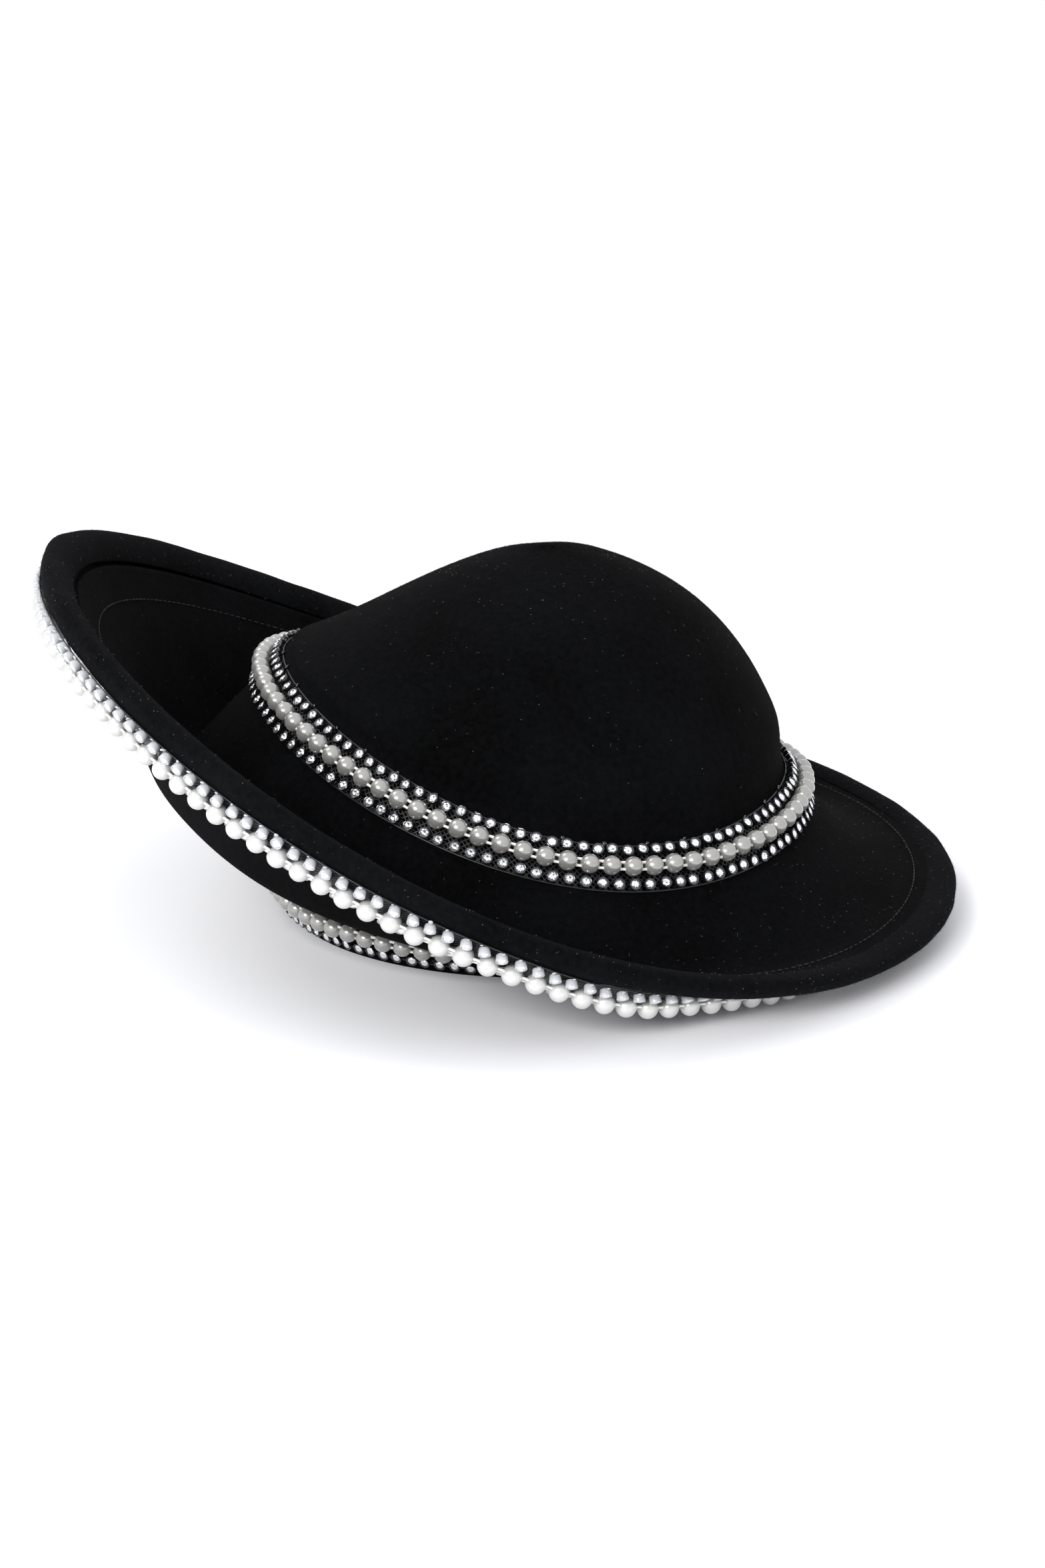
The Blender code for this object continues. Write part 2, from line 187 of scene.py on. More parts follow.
def tail_frame(t):
    """Where the banding's end runs, below its start, under the high side of the brim."""
    feet, acrosses, outs = [], [], []
    for angle in np.atleast_1d(t):
        u = np.linspace(1.0, 0.3, 60)
        top, normal = brim_top(u, np.full_like(u, angle))
        under = top - normal * FELT
        reach = np.concatenate([[0.0], np.cumsum(np.linalg.norm(np.diff(under, axis=0), axis=1))])
        i = int(np.searchsorted(reach, TAIL_DROP))
        feet.append(under[i] - normal[i] * TAIL_CLEAR)
        acrosses.append(unit(under[i - 1] - under[i + 1]))
        outs.append(-normal[i])
    return np.array(feet), np.array(acrosses), np.array(outs)


def bandeau_outer(share, t):
    low = vec(CROWN_X + BANDEAU_RX * np.cos(t), BANDEAU_RY * np.sin(t), 0.0 * t)
    foot, across, out = band_frame(t)
    high = foot - out * (FELT + 0.7) - across * 4.0
    swell = np.interp(share, (0.0, 0.06, 0.5, 1.0), (0.0, 0.5, 1.5, 0.0))
    return low + (high - low) * col(share) + outward(t, BANDEAU_RX, BANDEAU_RY) * col(swell)


def bandeau_trim_frame(t):
    top = bandeau_outer(np.ones_like(t), t)[..., 2]
    share = BANDEAU_TRIM_Z / top
    across = unit(bandeau_outer(share + 0.05, t) - bandeau_outer(share - 0.05, t))
    level = outward(t, BANDEAU_RX, BANDEAU_RY)
    out = unit(level - across * np.sum(level * across, axis=-1, keepdims=True))
    return bandeau_outer(share, t), across, out


# ---- making pieces ----------------------------------------------------------------------------
SHIFT = np.array([(cad_low[0] + cad_high[0]) / 2 / MM + CENTRE_X, 0.0, cad_low[2] / MM])
MADE = {}


def put(name, verts, faces, look, nodes=(), smooth=True, angle=None):
    """One piece of the hat from arrays, in the hat's millimetres."""
    verts = (np.asarray(verts, float) + SHIFT) * MM
    mesh = bpy.data.meshes.new(name)
    if isinstance(faces, np.ndarray):
        mesh.vertices.add(len(verts))
        mesh.vertices.foreach_set("co", verts.astype(np.float32).ravel())
        mesh.loops.add(faces.size)
        mesh.loops.foreach_set("vertex_index", faces.astype(np.int32).ravel())
        mesh.polygons.add(len(faces))
        mesh.polygons.foreach_set("loop_start", np.arange(0, faces.size, faces.shape[1], dtype=np.int32))
        mesh.update(calc_edges=True)
        mesh.validate()
    else:
        mesh.from_pydata(verts.tolist(), [], faces)
    if smooth:
        mesh.shade_smooth()
        if angle:
            mesh.set_sharp_from_angle(angle=math.radians(angle))
    mesh.materials.append(look[0])
    piece = bpy.data.objects.new(name, mesh)
    bpy.context.collection.objects.link(piece)
    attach(piece, "root")
    if nodes:
        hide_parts(*nodes)
    MADE[name] = piece
    return piece


def grid(points, close_u=True, close_v=False):
    """Vertices and quads of a net of points, rows by columns."""
    rows, columns = points.shape[:2]
    i = np.arange(rows if close_v else rows - 1)[:, None]
    j = np.arange(columns if close_u else columns - 1)[None]
    i2, j2 = (i + 1) % rows, (j + 1) % columns
    faces = np.stack(np.broadcast_arrays(i * columns + j, i * columns + j2, i2 * columns + j2,
                                         i2 * columns + j), -1).reshape(-1, 4)
    return points.reshape(-1, 3), faces


def copies(verts, faces, origins, xs, ys, zs, scale=None):
    """One mesh holding a small shape at every place, with its own axes."""
    count = len(origins)
    scale = np.ones((count, 1, 1)) if scale is None else np.asarray(scale).reshape(count, 1, -1)
    local = verts[None] * scale
    world = (origins[:, None] + local[..., 0:1] * xs[:, None] + local[..., 1:2] * ys[:, None]
             + local[..., 2:3] * zs[:, None])
    shift = (np.arange(count) * len(verts))[:, None, None]
    return world.reshape(-1, 3), (faces[None] + shift).reshape(-1, faces.shape[1])


def lathe(profile, sides):
    """Turn (radius, height) points round Z; ends with radius 0 become fans of thin quads."""
    a = np.arange(sides) * TAU / sides
    points = np.array([[(r * math.cos(x), r * math.sin(x), z) for x in a] for r, z in profile])
    return grid(points)


def even(frame_of, out_by, pitch, start=0.0, end=TAU, closed=True):
    """Angles one pitch apart along a banding's line."""
    fine = np.linspace(start, end, 2161)
    feet, _, out = frame_of(fine)
    points = feet + out * out_by
    reach = np.concatenate([[0.0], np.cumsum(np.linalg.norm(np.diff(points, axis=0), axis=1))])
    count = max(int(round(reach[-1] / pitch)), 1)
    stops = np.linspace(0, reach[-1], count + 1)
    return np.interp(stops[:-1] if closed else stops, reach, fine)


def smooth_noise(t, v, seed, waves=9, low=2, high=14, v_scale=2.0):
    """Gentle periodic noise over angle t and a second coordinate v."""
    rng = np.random.default_rng(seed)
    total = 0.0
    for _ in range(waves):
        k = rng.integers(low, high + 1)
        total = total + np.sin(k * t + rng.uniform(0, TAU) + v * rng.uniform(-v_scale, v_scale)) \
            * rng.uniform(0.5, 1.0)
    return total / math.sqrt(waves / 2)


# ---- materials --------------------------------------------------------------------------------

def node_material(name):
    made = bpy.data.materials.new(name)
    made.use_nodes = True
    tree = made.node_tree
    return made, tree, tree.nodes["Principled BSDF"]


def noise(tree, coords, scale, detail=3.0, rough=0.6):
    node = tree.nodes.new("ShaderNodeTexNoise")
    node.inputs["Scale"].default_value = scale
    node.inputs["Detail"].default_value = detail
    node.inputs["Roughness"].default_value = rough
    tree.links.new(coords, node.inputs["Vector"])
    return node.outputs["Fac"]


def ramp(tree, fac, stops):
    node = tree.nodes.new("ShaderNodeValToRGB")
    band = node.color_ramp
    while len(band.elements) < len(stops):
        band.elements.new(0.5)
    for element, (place, colour) in zip(band.elements, stops):
        element.position = place
        element.color = (*colour, 1.0)
    tree.links.new(fac, node.inputs["Fac"])
    return node.outputs["Color"]


def object_coords(tree):
    return tree.nodes.new("ShaderNodeTexCoord").outputs["Object"]


def felt_material(name, dark, light, sheen):
    """Pressed wool: a short nap in clumps, matt, with a faint grey bloom at a low angle."""
    made, tree, shader = node_material(name)
    coords = object_coords(tree)
    clumps = noise(tree, coords, 420.0, 4.0, 0.65)
    nap = noise(tree, coords, 2600.0, 3.0, 0.7)
    patches = noise(tree, coords, 26.0, 2.0, 0.5)
    mixed = tree.nodes.new("ShaderNodeMath")
    mixed.operation = "MULTIPLY_ADD"
    tree.links.new(clumps, mixed.inputs[0])
    mixed.inputs[1].default_value = 0.55
    scaled = tree.nodes.new("ShaderNodeMath")
    scaled.operation = "MULTIPLY"
    tree.links.new(patches, scaled.inputs[0])
    scaled.inputs[1].default_value = 0.45
    tree.links.new(scaled.outputs[0], mixed.inputs[2])
    colour = ramp(tree, mixed.outputs[0], [(0.34, dark), (0.66, light)])
    tree.links.new(colour, shader.inputs["Base Color"])
    shader.inputs["Roughness"].default_value = 0.95
    shader.inputs["Specular IOR Level"].default_value = 0.03
    shader.inputs["Sheen Weight"].default_value = sheen
    shader.inputs["Sheen Roughness"].default_value = 0.38
    shader.inputs["Sheen Tint"].default_value = (0.62, 0.64, 0.68, 1.0)
    add = tree.nodes.new("ShaderNodeMath")
    add.operation = "MULTIPLY_ADD"
    tree.links.new(nap, add.inputs[0])
    add.inputs[1].default_value = 0.6
    tree.links.new(clumps, add.inputs[2])
    bump = tree.nodes.new("ShaderNodeBump")
    bump.inputs["Strength"].default_value = 0.8
    bump.inputs["Distance"].default_value = 0.0008
    tree.links.new(add.outputs[0], bump.inputs["Height"])
    tree.links.new(bump.outputs["Normal"], shader.inputs["Normal"])
    return made


def pearl_material(name, colour, metallic):
    """Pearlised plastic under a clear coat. Layer Weight darkens its colour towards the edge as the surface
    turns from the camera: painted shade on the pearls' rims.
    """
    made, tree, shader = node_material(name)
    layer = tree.nodes.new("ShaderNodeLayerWeight")
    layer.inputs["Blend"].default_value = 0.35
    # painted shade: the base colour falls to half where the pearl turns away from the camera, standing in
    # for shade and the dark felt reflected at the rim
    painted_rim_shade = ramp(tree, layer.outputs["Facing"],
                [(0.0, colour), (0.5, tuple(c * 0.86 for c in colour)),
                 (1.0, tuple(c * 0.5 for c in colour))])
    tree.links.new(painted_rim_shade, shader.inputs["Base Color"])
    shader.inputs["Roughness"].default_value = 0.24
    shader.inputs["Metallic"].default_value = metallic
    shader.inputs["Subsurface Weight"].default_value = 0.15
    shader.inputs["Subsurface Radius"].default_value = (0.8, 0.7, 0.6)
    shader.inputs["Subsurface Scale"].default_value = 0.001
    shader.inputs["Coat Weight"].default_value = 0.8
    shader.inputs["Coat Roughness"].default_value = 0.12
    shader.inputs["Sheen Weight"].default_value = 0.2
    coords = object_coords(tree)
    bump = tree.nodes.new("ShaderNodeBump")
    bump.inputs["Strength"].default_value = 0.06
    bump.inputs["Distance"].default_value = 0.0001
    tree.links.new(noise(tree, coords, 900.0, 2.0), bump.inputs["Height"])
    tree.links.new(bump.outputs["Normal"], shader.inputs["Normal"])
    return made


def plain_material(name, colour, roughness, metallic=0.0, coat=0.0, transmission=0.0, ior=1.5,
                   bump_scale=0.0, bump_depth=0.0, specular=0.5):
    made, tree, shader = node_material(name)
    shader.inputs["Base Color"].default_value = (*colour, 1.0)
    shader.inputs["Roughness"].default_value = roughness
    shader.inputs["Metallic"].default_value = metallic
    shader.inputs["Coat Weight"].default_value = coat
    shader.inputs["Coat Roughness"].default_value = 0.05
    shader.inputs["Transmission Weight"].default_value = transmission
    shader.inputs["IOR"].default_value = ior
    shader.inputs["Specular IOR Level"].default_value = specular
    if bump_scale:
        coords = object_coords(tree)
        bump = tree.nodes.new("ShaderNodeBump")
        bump.inputs["Strength"].default_value = 0.5
        bump.inputs["Distance"].default_value = bump_depth
        tree.links.new(noise(tree, coords, bump_scale, 2.0), bump.inputs["Height"])
        tree.links.new(bump.outputs["Normal"], shader.inputs["Normal"])
    return made


FELT_LOOK = (felt_material("black felt", (0.0007, 0.0007, 0.0008),
                           (0.0034, 0.0036, 0.0041), 0.008), "felt")
# painted light: the roll and its nap use a lighter copy of the brim's felt, standing in for the light that
# the rounded edge catches
EDGE_PAINTED_LIGHT_LOOK = (felt_material("black felt edge painted lighter", (0.0014, 0.0015, 0.0017),
                           (0.0052, 0.0055, 0.0062), 0.014), "felt")
PEARL_LOOK = (pearl_material("silvery pearl", (0.37, 0.365, 0.35), 0.5), "pearl")
WHITE_PEARL_LOOK = (pearl_material("white pearl", (0.6, 0.595, 0.58), 0.3), "pearl")
PEG_LOOK = (plain_material("pearl peg", (0.78, 0.77, 0.74), 0.3, coat=0.4), "pearl")
STONE_LOOK = (plain_material("crystal facets", (0.86, 0.87, 0.9), 0.06, metallic=0.85, coat=1.0), "crystal")
BLACK_CUP_LOOK = (plain_material("black cup plastic", (0.006, 0.006, 0.0065), 0.16, coat=0.6), "black_cup")
CLEAR_CUP_LOOK = (plain_material("clear cup plastic", (0.55, 0.56, 0.58), 0.14, transmission=0.2,
                                 coat=0.4), "clear_cup")
NET_LOOK = (plain_material("black net", (0.01, 0.01, 0.011), 0.38), "net")
RIBBON_LOOK = (plain_material("grosgrain", (0.009, 0.009, 0.01), 0.55, bump_scale=3000.0,
                              bump_depth=0.0001), "ribbon")
BUCKRAM_LOOK = (plain_material("buckram", (0.03, 0.03, 0.032), 0.8, bump_scale=1800.0,
                               bump_depth=0.0003), "buckram")
WIRE_LOOK = (plain_material("drawn wire", (0.45, 0.45, 0.46), 0.35, metallic=1.0), "wire")
THREAD_LOOK = (plain_material("sewing thread", (0.007, 0.007, 0.008), 0.8, bump_scale=4000.0,
                              bump_depth=0.00005), "thread")
LINT_LOOK = (plain_material("lint", (0.09, 0.09, 0.095), 0.9), "felt")


# ---- felt body --------------------------------------------------------------------------------
AROUND = 480


def closed_shell(outer, inner):
    """A ring-shaped shell from its two faces, joined at both edges."""
    return grid(np.concatenate([outer, inner[::-1]]), close_u=True, close_v=True)


def surface_normals(points):
    down = np.gradient(points, axis=0)
    turn = np.roll(points, -1, axis=1) - np.roll(points, 1, axis=1)
    return unit(np.cross(down, turn))


def crown_rows():
    """Outer face of the crown: the dome, easing into the cone that carries the banding."""
    t = np.arange(AROUND) * TAU / AROUND
    knots = [crown_point(np.full_like(t, r), t)
             for r in (0.02, 0.08, 0.16, 0.26, 0.36, 0.46, 0.56, 0.66, 0.75, 0.82, 0.88, 0.93)]
    foot, across, _ = band_frame(t)
    knots += [foot + across * 9.0, foot + across * 3.0, foot - across * 2.5, foot - across * 6.6]
    knots = np.array(knots)
    place = np.concatenate([[0.0], np.cumsum(np.linalg.norm(np.diff(knots, axis=0), axis=2).mean(1))])
    fine = np.linspace(0, place[-1], 96)
    rows = np.empty((len(fine), AROUND, 3))
    slopes = np.gradient(knots, place, axis=0)
    for n, x in enumerate(fine):
        i = min(int(np.searchsorted(place, x, side="right")) - 1, len(place) - 2)
        h = place[i + 1] - place[i]
        s = (x - place[i]) / h
        rows[n] = ((2 * s ** 3 - 3 * s ** 2 + 1) * knots[i] + (s ** 3 - 2 * s ** 2 + s) * h * slopes[i]
                   + (3 * s ** 2 - 2 * s ** 3) * knots[i + 1] + (s ** 3 - s ** 2) * h * slopes[i + 1])
    return rows, t, fine / place[-1]


def make_crown():
    rows, t, share = crown_rows()
    normal = surface_normals(rows)
    middle = np.array([CROWN_X, 0.0, BAND_Z - 40.0])
    normal *= np.sign(np.sum(normal * (rows - middle), axis=-1, keepdims=True))
    dent = smooth_noise(t[None], share[:, None] * 6, 3, low=1, high=5) * 0.32
    fade = np.clip((0.82 - share) / 0.2, 0, 1)[:, None] * np.clip(share[:, None] * 6, 0, 1)
    rows = rows + normal * (dent * fade)[..., None]
    inner = rows - normal * FELT
    verts, faces = closed_shell(rows, inner)
    put("crown_felt", verts, faces, FELT_LOOK, ["crown_shell"])
    verts = np.concatenate([rows[0], inner[0], [rows[0].mean(0)], [inner[0].mean(0)]])
    n = AROUND
    faces = [(k, (k + 1) % n, 2 * n) for k in range(n)]
    faces += [(n + (k + 1) % n, n + k, 2 * n + 1) for k in range(n)]
    put("crown_tip", verts, faces, FELT_LOOK)
    return rows, normal


def brim_rows(count):
    t = np.arange(AROUND) * TAU / AROUND
    u = np.linspace(0.0, 0.985, count)
    tt, uu = np.meshgrid(t, u)
    top, normal = brim_top(uu, tt)
    wobble = smooth_noise(tt, uu * 4, 5, low=2, high=7) * 0.55
    fade = np.sin(np.pi * np.clip(uu / 0.985, 0, 1)) ** 0.7
    top = top + normal * (wobble * fade)[..., None]
    # the felt runs on into the roll, so that the crease between them has no gap
    way = unit(top[-1] - top[-2])
    top = np.concatenate([top, [top[-1] + way * reach for reach in (1.5, 3.0, 5.0)]])
    normal = np.concatenate([normal, np.repeat(normal[-1:], 3, axis=0)])
    return top, normal


def make_brim():
    top, normal = brim_rows(72)
    verts, faces = closed_shell(top, top - normal * FELT)
    put("brim_felt", verts, faces, FELT_LOOK, ["brim_shell"])
    return top, normal


def roll_profile(t, top_count, inset):
    """Half widths along and above the rim line, from the crease over the top and round below."""
    size = roll_size(t)
    a = (ROLL_A - inset) * size
    crease = math.pi - math.asin((BRIM_LIFT - 0.3) / ROLL_TOP)
    over = np.linspace(crease, -0.5 * math.pi, top_count)
    below = np.linspace(-0.5 * math.pi, -0.98 * math.pi, 9)[1:]
    points = []
    for turn in np.concatenate([over, below]):
        b = ((ROLL_TOP if turn > 0 else ROLL_B) - inset) * size
        points.append((a * math.cos(turn), b * math.sin(turn)))
    return points


def make_roll():
    """Rolled edge, puffed between the stitches that hold it down along its inner side."""
    around = AROUND * 2
    t = np.arange(around) * TAU / around
    middle, along, above = rim_frame(t)
    stitch = 0.5 + 0.5 * np.cos(t * STITCHES)
    puff = smooth_noise(t, 0.0, 8, low=5, high=30) * 0.10
    outer, inner = [], []
    top_count = 44
    for n, (a, b) in enumerate(roll_profile(t, top_count, 0.0)):
        seam = math.exp(-(n / (top_count * 0.13)) ** 2)
        under = np.clip((n - top_count) / 8.0, 0, 1)
        lump = smooth_noise(t, n * 0.08, 9, low=9, high=60, v_scale=1.5) * 0.05
        grow = 1 + (puff + lump) / 6 * (1 - seam) * (1 - under) - 0.045 * seam * stitch
        outer.append(middle + along * col(a * grow) + above * col(b * grow))
    for a, b in roll_profile(t, top_count, 2.7):
        inner.append(middle + along * col(a) + above * col(b))
    verts, faces = closed_shell(np.array(outer), np.array(inner))
    put("rolled_edge_felt", verts, faces, EDGE_PAINTED_LIGHT_LOOK, ["brim_rolled_edge"])
    return np.array(outer)


def make_wire():
    t = np.arange(180) * TAU / 180
    middle, along, above = rim_frame(t)
    middle = middle + along * 2.0
    rows = [middle + along * math.cos(a) + above * math.sin(a) for a in np.arange(10) * TAU / 10]
    verts, faces = grid(np.array(rows), close_u=True, close_v=True)
    put("edge_wire", verts, faces, WIRE_LOOK, ["brim_wire"])


def make_stitches():
    """Single stitches lying on the brim's top face, in from the rolled edge."""
    count = STITCHES
    t = np.arange(count) * TAU / count + 0.004
    point, normal = brim_top(np.full_like(t, HEM_AT), t)
    ahead, _ = brim_top(np.full_like(t, HEM_AT), t + 0.01)
    x = unit(ahead - point)
    y = unit(np.cross(normal, x))
    profile, faces = lathe([(0.02, -1.15), (0.2, -1.0), (0.26, -0.5), (0.28, 0.0), (0.26, 0.5),
                            (0.2, 1.0), (0.02, 1.15)], 8)
    lay = profile[:, [2, 0, 1]]
    verts, faces = copies(lay, faces, point + normal * 0.34, x, y, normal,
                          RNG.uniform(0.75, 1.1, (count, 1)))
    put("hem_stitches", verts, faces, THREAD_LOOK, ["hem_thread"])


def make_bandeau():
    t = np.arange(AROUND) * TAU / AROUND
    shares = np.concatenate([np.linspace(0.0, 0.06, 5), np.linspace(0.08, 1.0, 24)])
    level = outward(t, BANDEAU_RX, BANDEAU_RY)
    outer = np.array([bandeau_outer(np.full_like(t, s), t)
                      + level * col(smooth_noise(t, s * 5, 12, low=3, high=16) * 0.12 * min(s * 6, 1))
                      for s in shares])
    verts, faces = closed_shell(outer, outer - level * BANDEAU_WALL)
    put("bandeau_felt_ring", verts, faces, FELT_LOOK, ["bandeau_felt"], angle=50)
    inset = BANDEAU_WALL + 0.3
    rows = np.array([bandeau_outer(np.full_like(t, s), t) - level * inset
                     for s in np.linspace(0.06, 1.0, 12)])
    verts, faces = closed_shell(rows, rows - level * 1.0)
    put("bandeau_stiffener", verts, faces, BUCKRAM_LOOK, ["bandeau_buckram"], angle=50)
    inset += 1.3
    ribs = 2600
    t = np.arange(ribs) * TAU / ribs
    level = outward(t, BANDEAU_RX, BANDEAU_RY)
    rib = 0.07 * np.cos(t * ribs / 4)
    rows = np.array([bandeau_outer(np.full_like(t, s), t) - level * inset
                     for s in np.linspace(0.06, 0.5, 6)])
    verts, faces = closed_shell(rows, rows - level * col(0.7 + rib))
    put("sweatband_ribbon", verts, faces, RIBBON_LOOK, ["sweatband"], angle=50)


# ---- banding ----------------------------------------------------------------------------------

def make_net(name, frame_of, node, start=0.0, end=TAU, closed=True):
    """Diamond netting: two families of fine strands crossing on the felt."""
    pitch = 2.1
    line = even(frame_of, 0.4, pitch, start, end, closed)
    steps = np.linspace(-NET_HALF, NET_HALF, 7)
    span = (line[1] - line[0])
    verts, faces = [], []
    base = 0
    for way, lift in ((1, 0.42), (-1, 0.55)):
        for wide in (-0.2, 0.2):
            t = line[None] + way * (steps[:, None] / NET_HALF) * span * 3.9 + wide / pitch * span * 1.4
            if not closed:
                t = np.clip(t, start, end)
            foot, across, out = frame_of(t.ravel())
            points = (foot + across * np.repeat(steps, len(line))[:, None] + out * lift)
            verts.append(points)
        rows, columns = len(steps), len(line)
        i, j = np.meshgrid(np.arange(rows - 1), np.arange(columns), indexing="ij")
        left = base + i * columns + j
        right = left + rows * columns
        faces.append(np.stack([left, right, right + columns, left + columns], -1).reshape(-1, 4))
        base += 2 * rows * columns
    for side in (-1, 1):
        t = np.concatenate([line, line[:1] + TAU]) if closed else line
        foot, across, out = frame_of(t)
        rows = [foot + across * (side * NET_HALF + w) + out * h
                for w, h in ((-0.35, 0.4), (0.35, 0.4), (0.35, 0.75), (-0.35, 0.75))]
        v, f = grid(np.array(rows), close_u=False, close_v=True)
        verts.append(v)
        faces.append(f + base)
        base += len(v)
    return put(name, np.concatenate(verts), np.concatenate(faces), NET_LOOK, [node])


def sphere(radius, rings=14, sides=26):
    profile = [(max(radius * math.sin(a), 0.002), radius * math.cos(a))
               for a in np.linspace(0, math.pi, rings + 1)]
    return lathe(profile, sides)


def make_pearls(prefix, frame_of, pitch, look, node, start=0.0, end=TAU, closed=True):
    out_by = PEARL_R + NET_CLEAR
    t = even(frame_of, out_by, pitch, start, end, closed)
    foot, across, out = frame_of(t)
    centre = foot + out * out_by
    jitter = RNG.normal(0, 0.12, (len(t), 2))
    centre = centre + across * jitter[:, :1] + out * jitter[:, 1:] * 0.5
    along = unit(np.cross(across, out))
    verts, faces = sphere(1.0)
    size = PEARL_R * RNG.uniform(0.975, 1.0, (len(t), 1)) * (1.06 if pitch > 8.4 else 1.0)
    v, f = copies(verts, faces, centre, along, across, out, size)
    put(f"{prefix}_pearls", v, f, look, [node])
    # the two pegs between neighbours
    after = np.roll(centre, -1, axis=0)
    keep = np.ones(len(t), bool)
    if not closed:
        keep[-1] = False
    way = unit(after - centre)
    gap = np.linalg.norm(after - centre, axis=1, keepdims=True)
    profile, faces = lathe([(0.01, -0.5), (0.62, -0.5), (0.55, -0.2), (0.5, 0.0), (0.55, 0.2),
                            (0.62, 0.5), (0.01, 0.5)], 10)
    lay = profile[:, [2, 0, 1]]
    for side in (-1, 1):
        place = (centre + after) / 2 + across * 1.25 * side
        scale = np.concatenate([gap * 0.5, np.ones((len(t), 2))], axis=1)
        v, f = copies(lay, faces, place[keep], way[keep], across[keep], out[keep], scale[keep])
        put(f"{prefix}_pegs_{'upper' if side > 0 else 'lower'}", v, f, PEG_LOOK)
    return t


def stone_shape():
    """Round brilliant seen from above: table, star, kite and girdle facets, each one flat."""
    def ring(radius, height, count, turn):
        return [(radius * math.cos(TAU * (k + turn) / count), radius * math.sin(TAU * (k + turn) / count),
                 height) for k in range(count)]
    table = ring(0.52, 0.34, 8, 0.0)
    star = ring(0.78, 0.24, 8, 0.5)
    girdle = ring(1.0, 0.0, 16, 0.0)
    verts = np.array(table + star + girdle + [(0, 0, 0.12)])
    tris = []
    for k in range(8):
        n = (k + 1) % 8
        tris.append((k, n, 8 + k))
        tris.append((k, 8 + k, 16 + 2 * k))
        tris.append((k, 16 + 2 * k, 8 + (k - 1) % 8))
        tris.append((8 + k, 16 + 2 * k + 1, 16 + 2 * k))
        tris.append((8 + k, 16 + (2 * k + 2) % 16, 16 + 2 * k + 1))
        tris.append((k, 32, n))
    # facets don't share vertices, so that each stays flat
    verts = verts[np.array(tris).ravel()]
    faces = np.arange(len(verts)).reshape(-1, 3)
    a, b, c = verts[faces[:, 0]], verts[faces[:, 1]], verts[faces[:, 2]]
    flip = np.cross(b - a, c - a)[:, 2] < 0
    faces[flip] = faces[flip][:, ::-1]
    return verts, faces


CUP_PROFILE = [(0.02, 0.0), (1.75, 0.0), (1.95, 0.25), (2.08, 1.6), (2.15, 2.35), (2.08, 2.6),
               (1.92, 2.68), (1.74, 2.62), (1.64, 2.4), (1.6, 2.1), (0.02, 2.1)]


def make_row(prefix, frame_of, side, row_pitch, cup_look, node_stem, start=0.0, end=TAU, closed=True,
             sway=0.0):
    """One row of cups and the stones set in them."""
    row = "upper" if side > 0 else "lower"
    t = even(frame_of, 2.0, row_pitch, start, end, closed)
    foot, across, out = frame_of(t)
    shake = RNG.normal(0, 0.13, (len(t), 2))
    along = unit(np.cross(across, out))
    place = foot + across * (CUP_ROW * side) + out * NET_CLEAR
    place = place + across * shake[:, :1] + along * shake[:, 1:]
    lean = RNG.normal(0, 0.07, (len(t), 2))
    up = unit(out + across * (lean[:, :1] + sway * side) + along * lean[:, 1:])
    x = unit(np.cross(across, up))
    y = np.cross(up, x)
    profile, faces = lathe(CUP_PROFILE, 18)
    v, f = copies(profile, faces, place, x, y, up)
    put(f"{prefix}_{row}_cup_row", v, f, cup_look, [f"{node_stem}_{row}_cups"], angle=45)
    verts, faces = stone_shape()
    spin = RNG.uniform(0, TAU, len(t))
    sx = x * col(np.cos(spin)) + y * col(np.sin(spin))
    sy = np.cross(up, sx)
    v, f = copies(verts, faces, place + up * 2.25, sx, sy, up, np.full((len(t), 1), 1.66))
    put(f"{prefix}_{row}_stone_row", v, f, STONE_LOOK, [f"{node_stem}_{row}_stones"], smooth=False)
    return t


def make_tabs(prefix, frame_of, side, pitch, look, start=0.0, end=TAU, closed=True):
    """Small clear lugs of the cups' backing that stand out past the row."""
    t = even(frame_of, 2.0, pitch, start, end, closed)
    t = t + RNG.normal(0, 0.002, len(t))
    foot, across, out = frame_of(t)
    along = unit(np.cross(across, out))
    place = foot + across * side * (NET_HALF + 0.1) + out * 1.1
    lean = RNG.normal(0, 0.25, (len(t), 2))
    up = unit(across * side + out * (0.35 + lean[:, :1]) + along * lean[:, 1:])
    x = unit(np.cross(up, out))
    y = np.cross(up, x)
    w, d, h = 0.65, 0.32, 1.0
    corners = np.array([(sx * w * k, sy * d * k, z) for z, k in ((-0.6 * h, 1.1), (h, 1.0), (h * 1.35, 0.55))
                        for sx, sy in ((-1, -1), (1, -1), (1, 1), (-1, 1))])
    faces = [(0, 3, 2, 1), (8, 9, 10, 11)]
    for z in (0, 4):
        faces += [(z + k, z + (k + 1) % 4, z + 4 + (k + 1) % 4, z + 4 + k) for k in range(4)]
    size = RNG.uniform(0.6, 1.15, (len(t), 1))
    v, f = copies(corners, np.array(faces), place, x, y, up, size)
    put(f"{prefix}_tabs", v, f, look, smooth=False)


def make_banding(prefix, frame_of, stem, pitch, cup_look, start=0.0, end=TAU, closed=True, sway=0.0):
    make_net(f"{prefix}_netting", frame_of, f"{stem}_net", start, end, closed)
    pearl_look = WHITE_PEARL_LOOK if cup_look is CLEAR_CUP_LOOK else PEARL_LOOK
    make_pearls(prefix, frame_of, pitch, pearl_look, f"{stem}_pearls", start, end, closed)
    for side in (1, -1):
        make_row(prefix, frame_of, side, pitch / 1.4, cup_look, stem, start, end, closed, sway)


# ---- nap and lint -----------------------------------------------------------------------------

